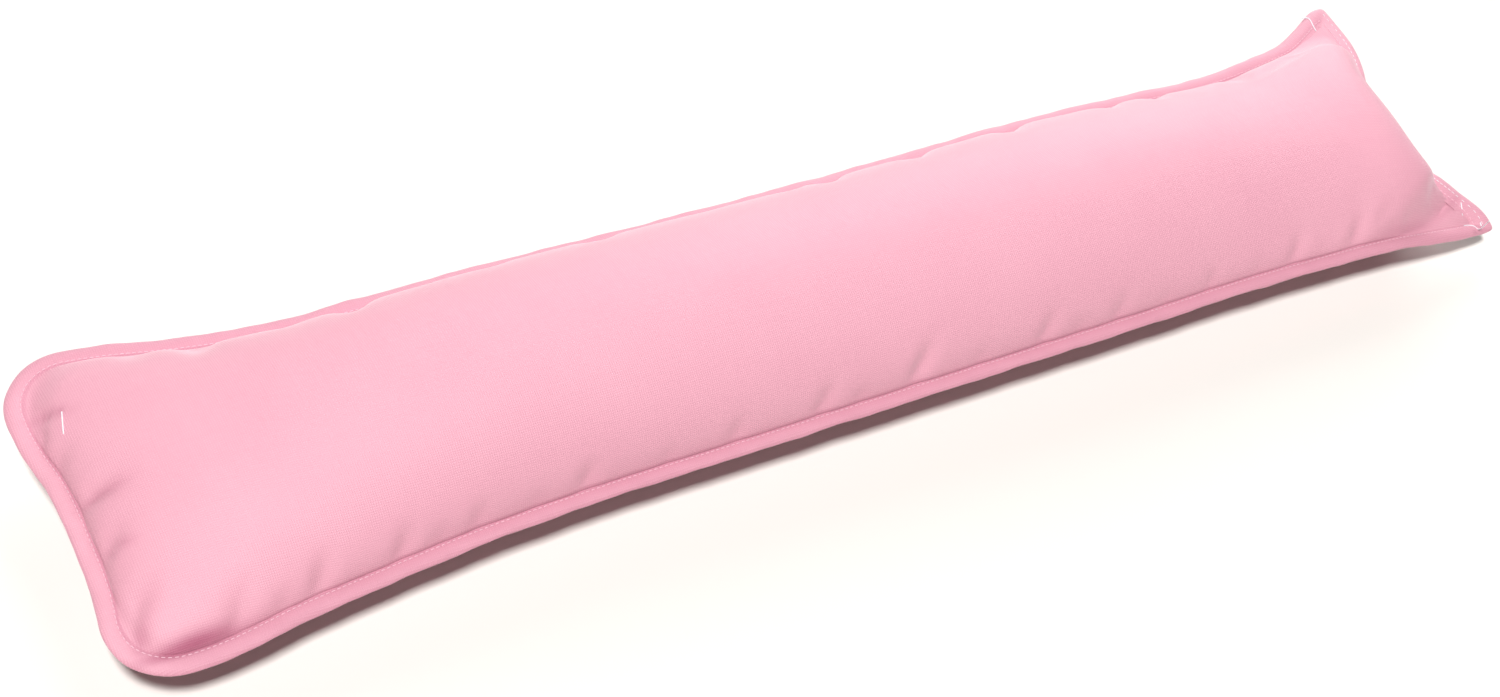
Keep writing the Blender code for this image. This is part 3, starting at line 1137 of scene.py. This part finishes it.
def studio_floor():
    """One flat square under the cushion, with the faint tooth of painted board."""
    corner = FLOOR_SIZE / 2
    mesh = bpy.data.meshes.new("studio_floor")
    corners = [(-corner, -corner, 0), (corner, -corner, 0), (corner, corner, 0), (-corner, corner, 0)]
    mesh.from_pydata(corners, [], [(0, 1, 2, 3)])
    tree, material = new_material("matt_white_board")
    place = add_node(tree, "ShaderNodeTexCoord").outputs["Object"]
    grain = add_node(tree, "ShaderNodeTexNoise", Vector=place, Scale=120.0, Detail=2.0)
    bump = add_node(tree, "ShaderNodeBump", Height=grain.outputs["Fac"], Strength=0.05, Distance=0.2 * MM)
    shader = add_node(
        tree,
        "ShaderNodeBsdfPrincipled",
        Base_Color=FLOOR_COLOUR,
        Roughness=0.85,
        Normal=bump.outputs["Normal"],
    )
    add_node(tree, "ShaderNodeOutputMaterial", Surface=shader.outputs["BSDF"])
    mesh.materials.append(material)
    return mesh


def soft_light(name, place, size, power):
    """A rectangular lamp that faces the middle of the scene."""
    data = bpy.data.lights.new(name, "AREA")
    data.shape = "RECTANGLE"
    data.size, data.size_y = size
    data.energy = power
    lamp = bpy.data.objects.new(name, data)
    ahead = -np.array(place) / np.linalg.norm(place)
    right = np.cross(ahead, (0.0, 1.0, 0.001))
    right /= np.linalg.norm(right)
    matrix = np.eye(4)
    matrix[:3] = np.stack([right, np.cross(right, ahead), -ahead, np.array(place)], axis=1)
    lamp.matrix_world = Matrix(matrix.tolist())
    bpy.context.scene.collection.objects.link(lamp)
    return lamp


floor = link(studio_floor(), "studio_floor")
soft_light("high_key", KEY_PLACE, KEY_SIZE, KEY_POWER)
soft_light("back_window", BACK_PLACE, BACK_SIZE, BACK_POWER)
soft_light("front_reflector", FRONT_PLACE, FRONT_SIZE, FRONT_POWER)
world = bpy.data.worlds.new("studio_white")
world.use_nodes = True
world.node_tree.nodes["Background"].inputs["Color"].default_value = (1, 1, 1, 1)
world.node_tree.nodes["Background"].inputs["Strength"].default_value = WORLD_STRENGTH
bpy.context.scene.world = world
bpy.context.scene.view_settings.view_transform = "Standard"
print("key light", KEY_POWER, "W at", KEY_PLACE[2], "m")

# %% [markdown]
# ## Finish
#
# One subdivision rounds the cloth between its grid points. Every piece rides on the one body of this
# part, and the solid is hidden.

for piece in (body, rim):
    rounding = piece.modifiers.new("rounding", "SUBSURF")
    rounding.levels = rounding.render_levels = 1
for piece in (body, rim, topstitching, closing, thread_ends):
    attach(piece, "root")
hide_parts("cushion")
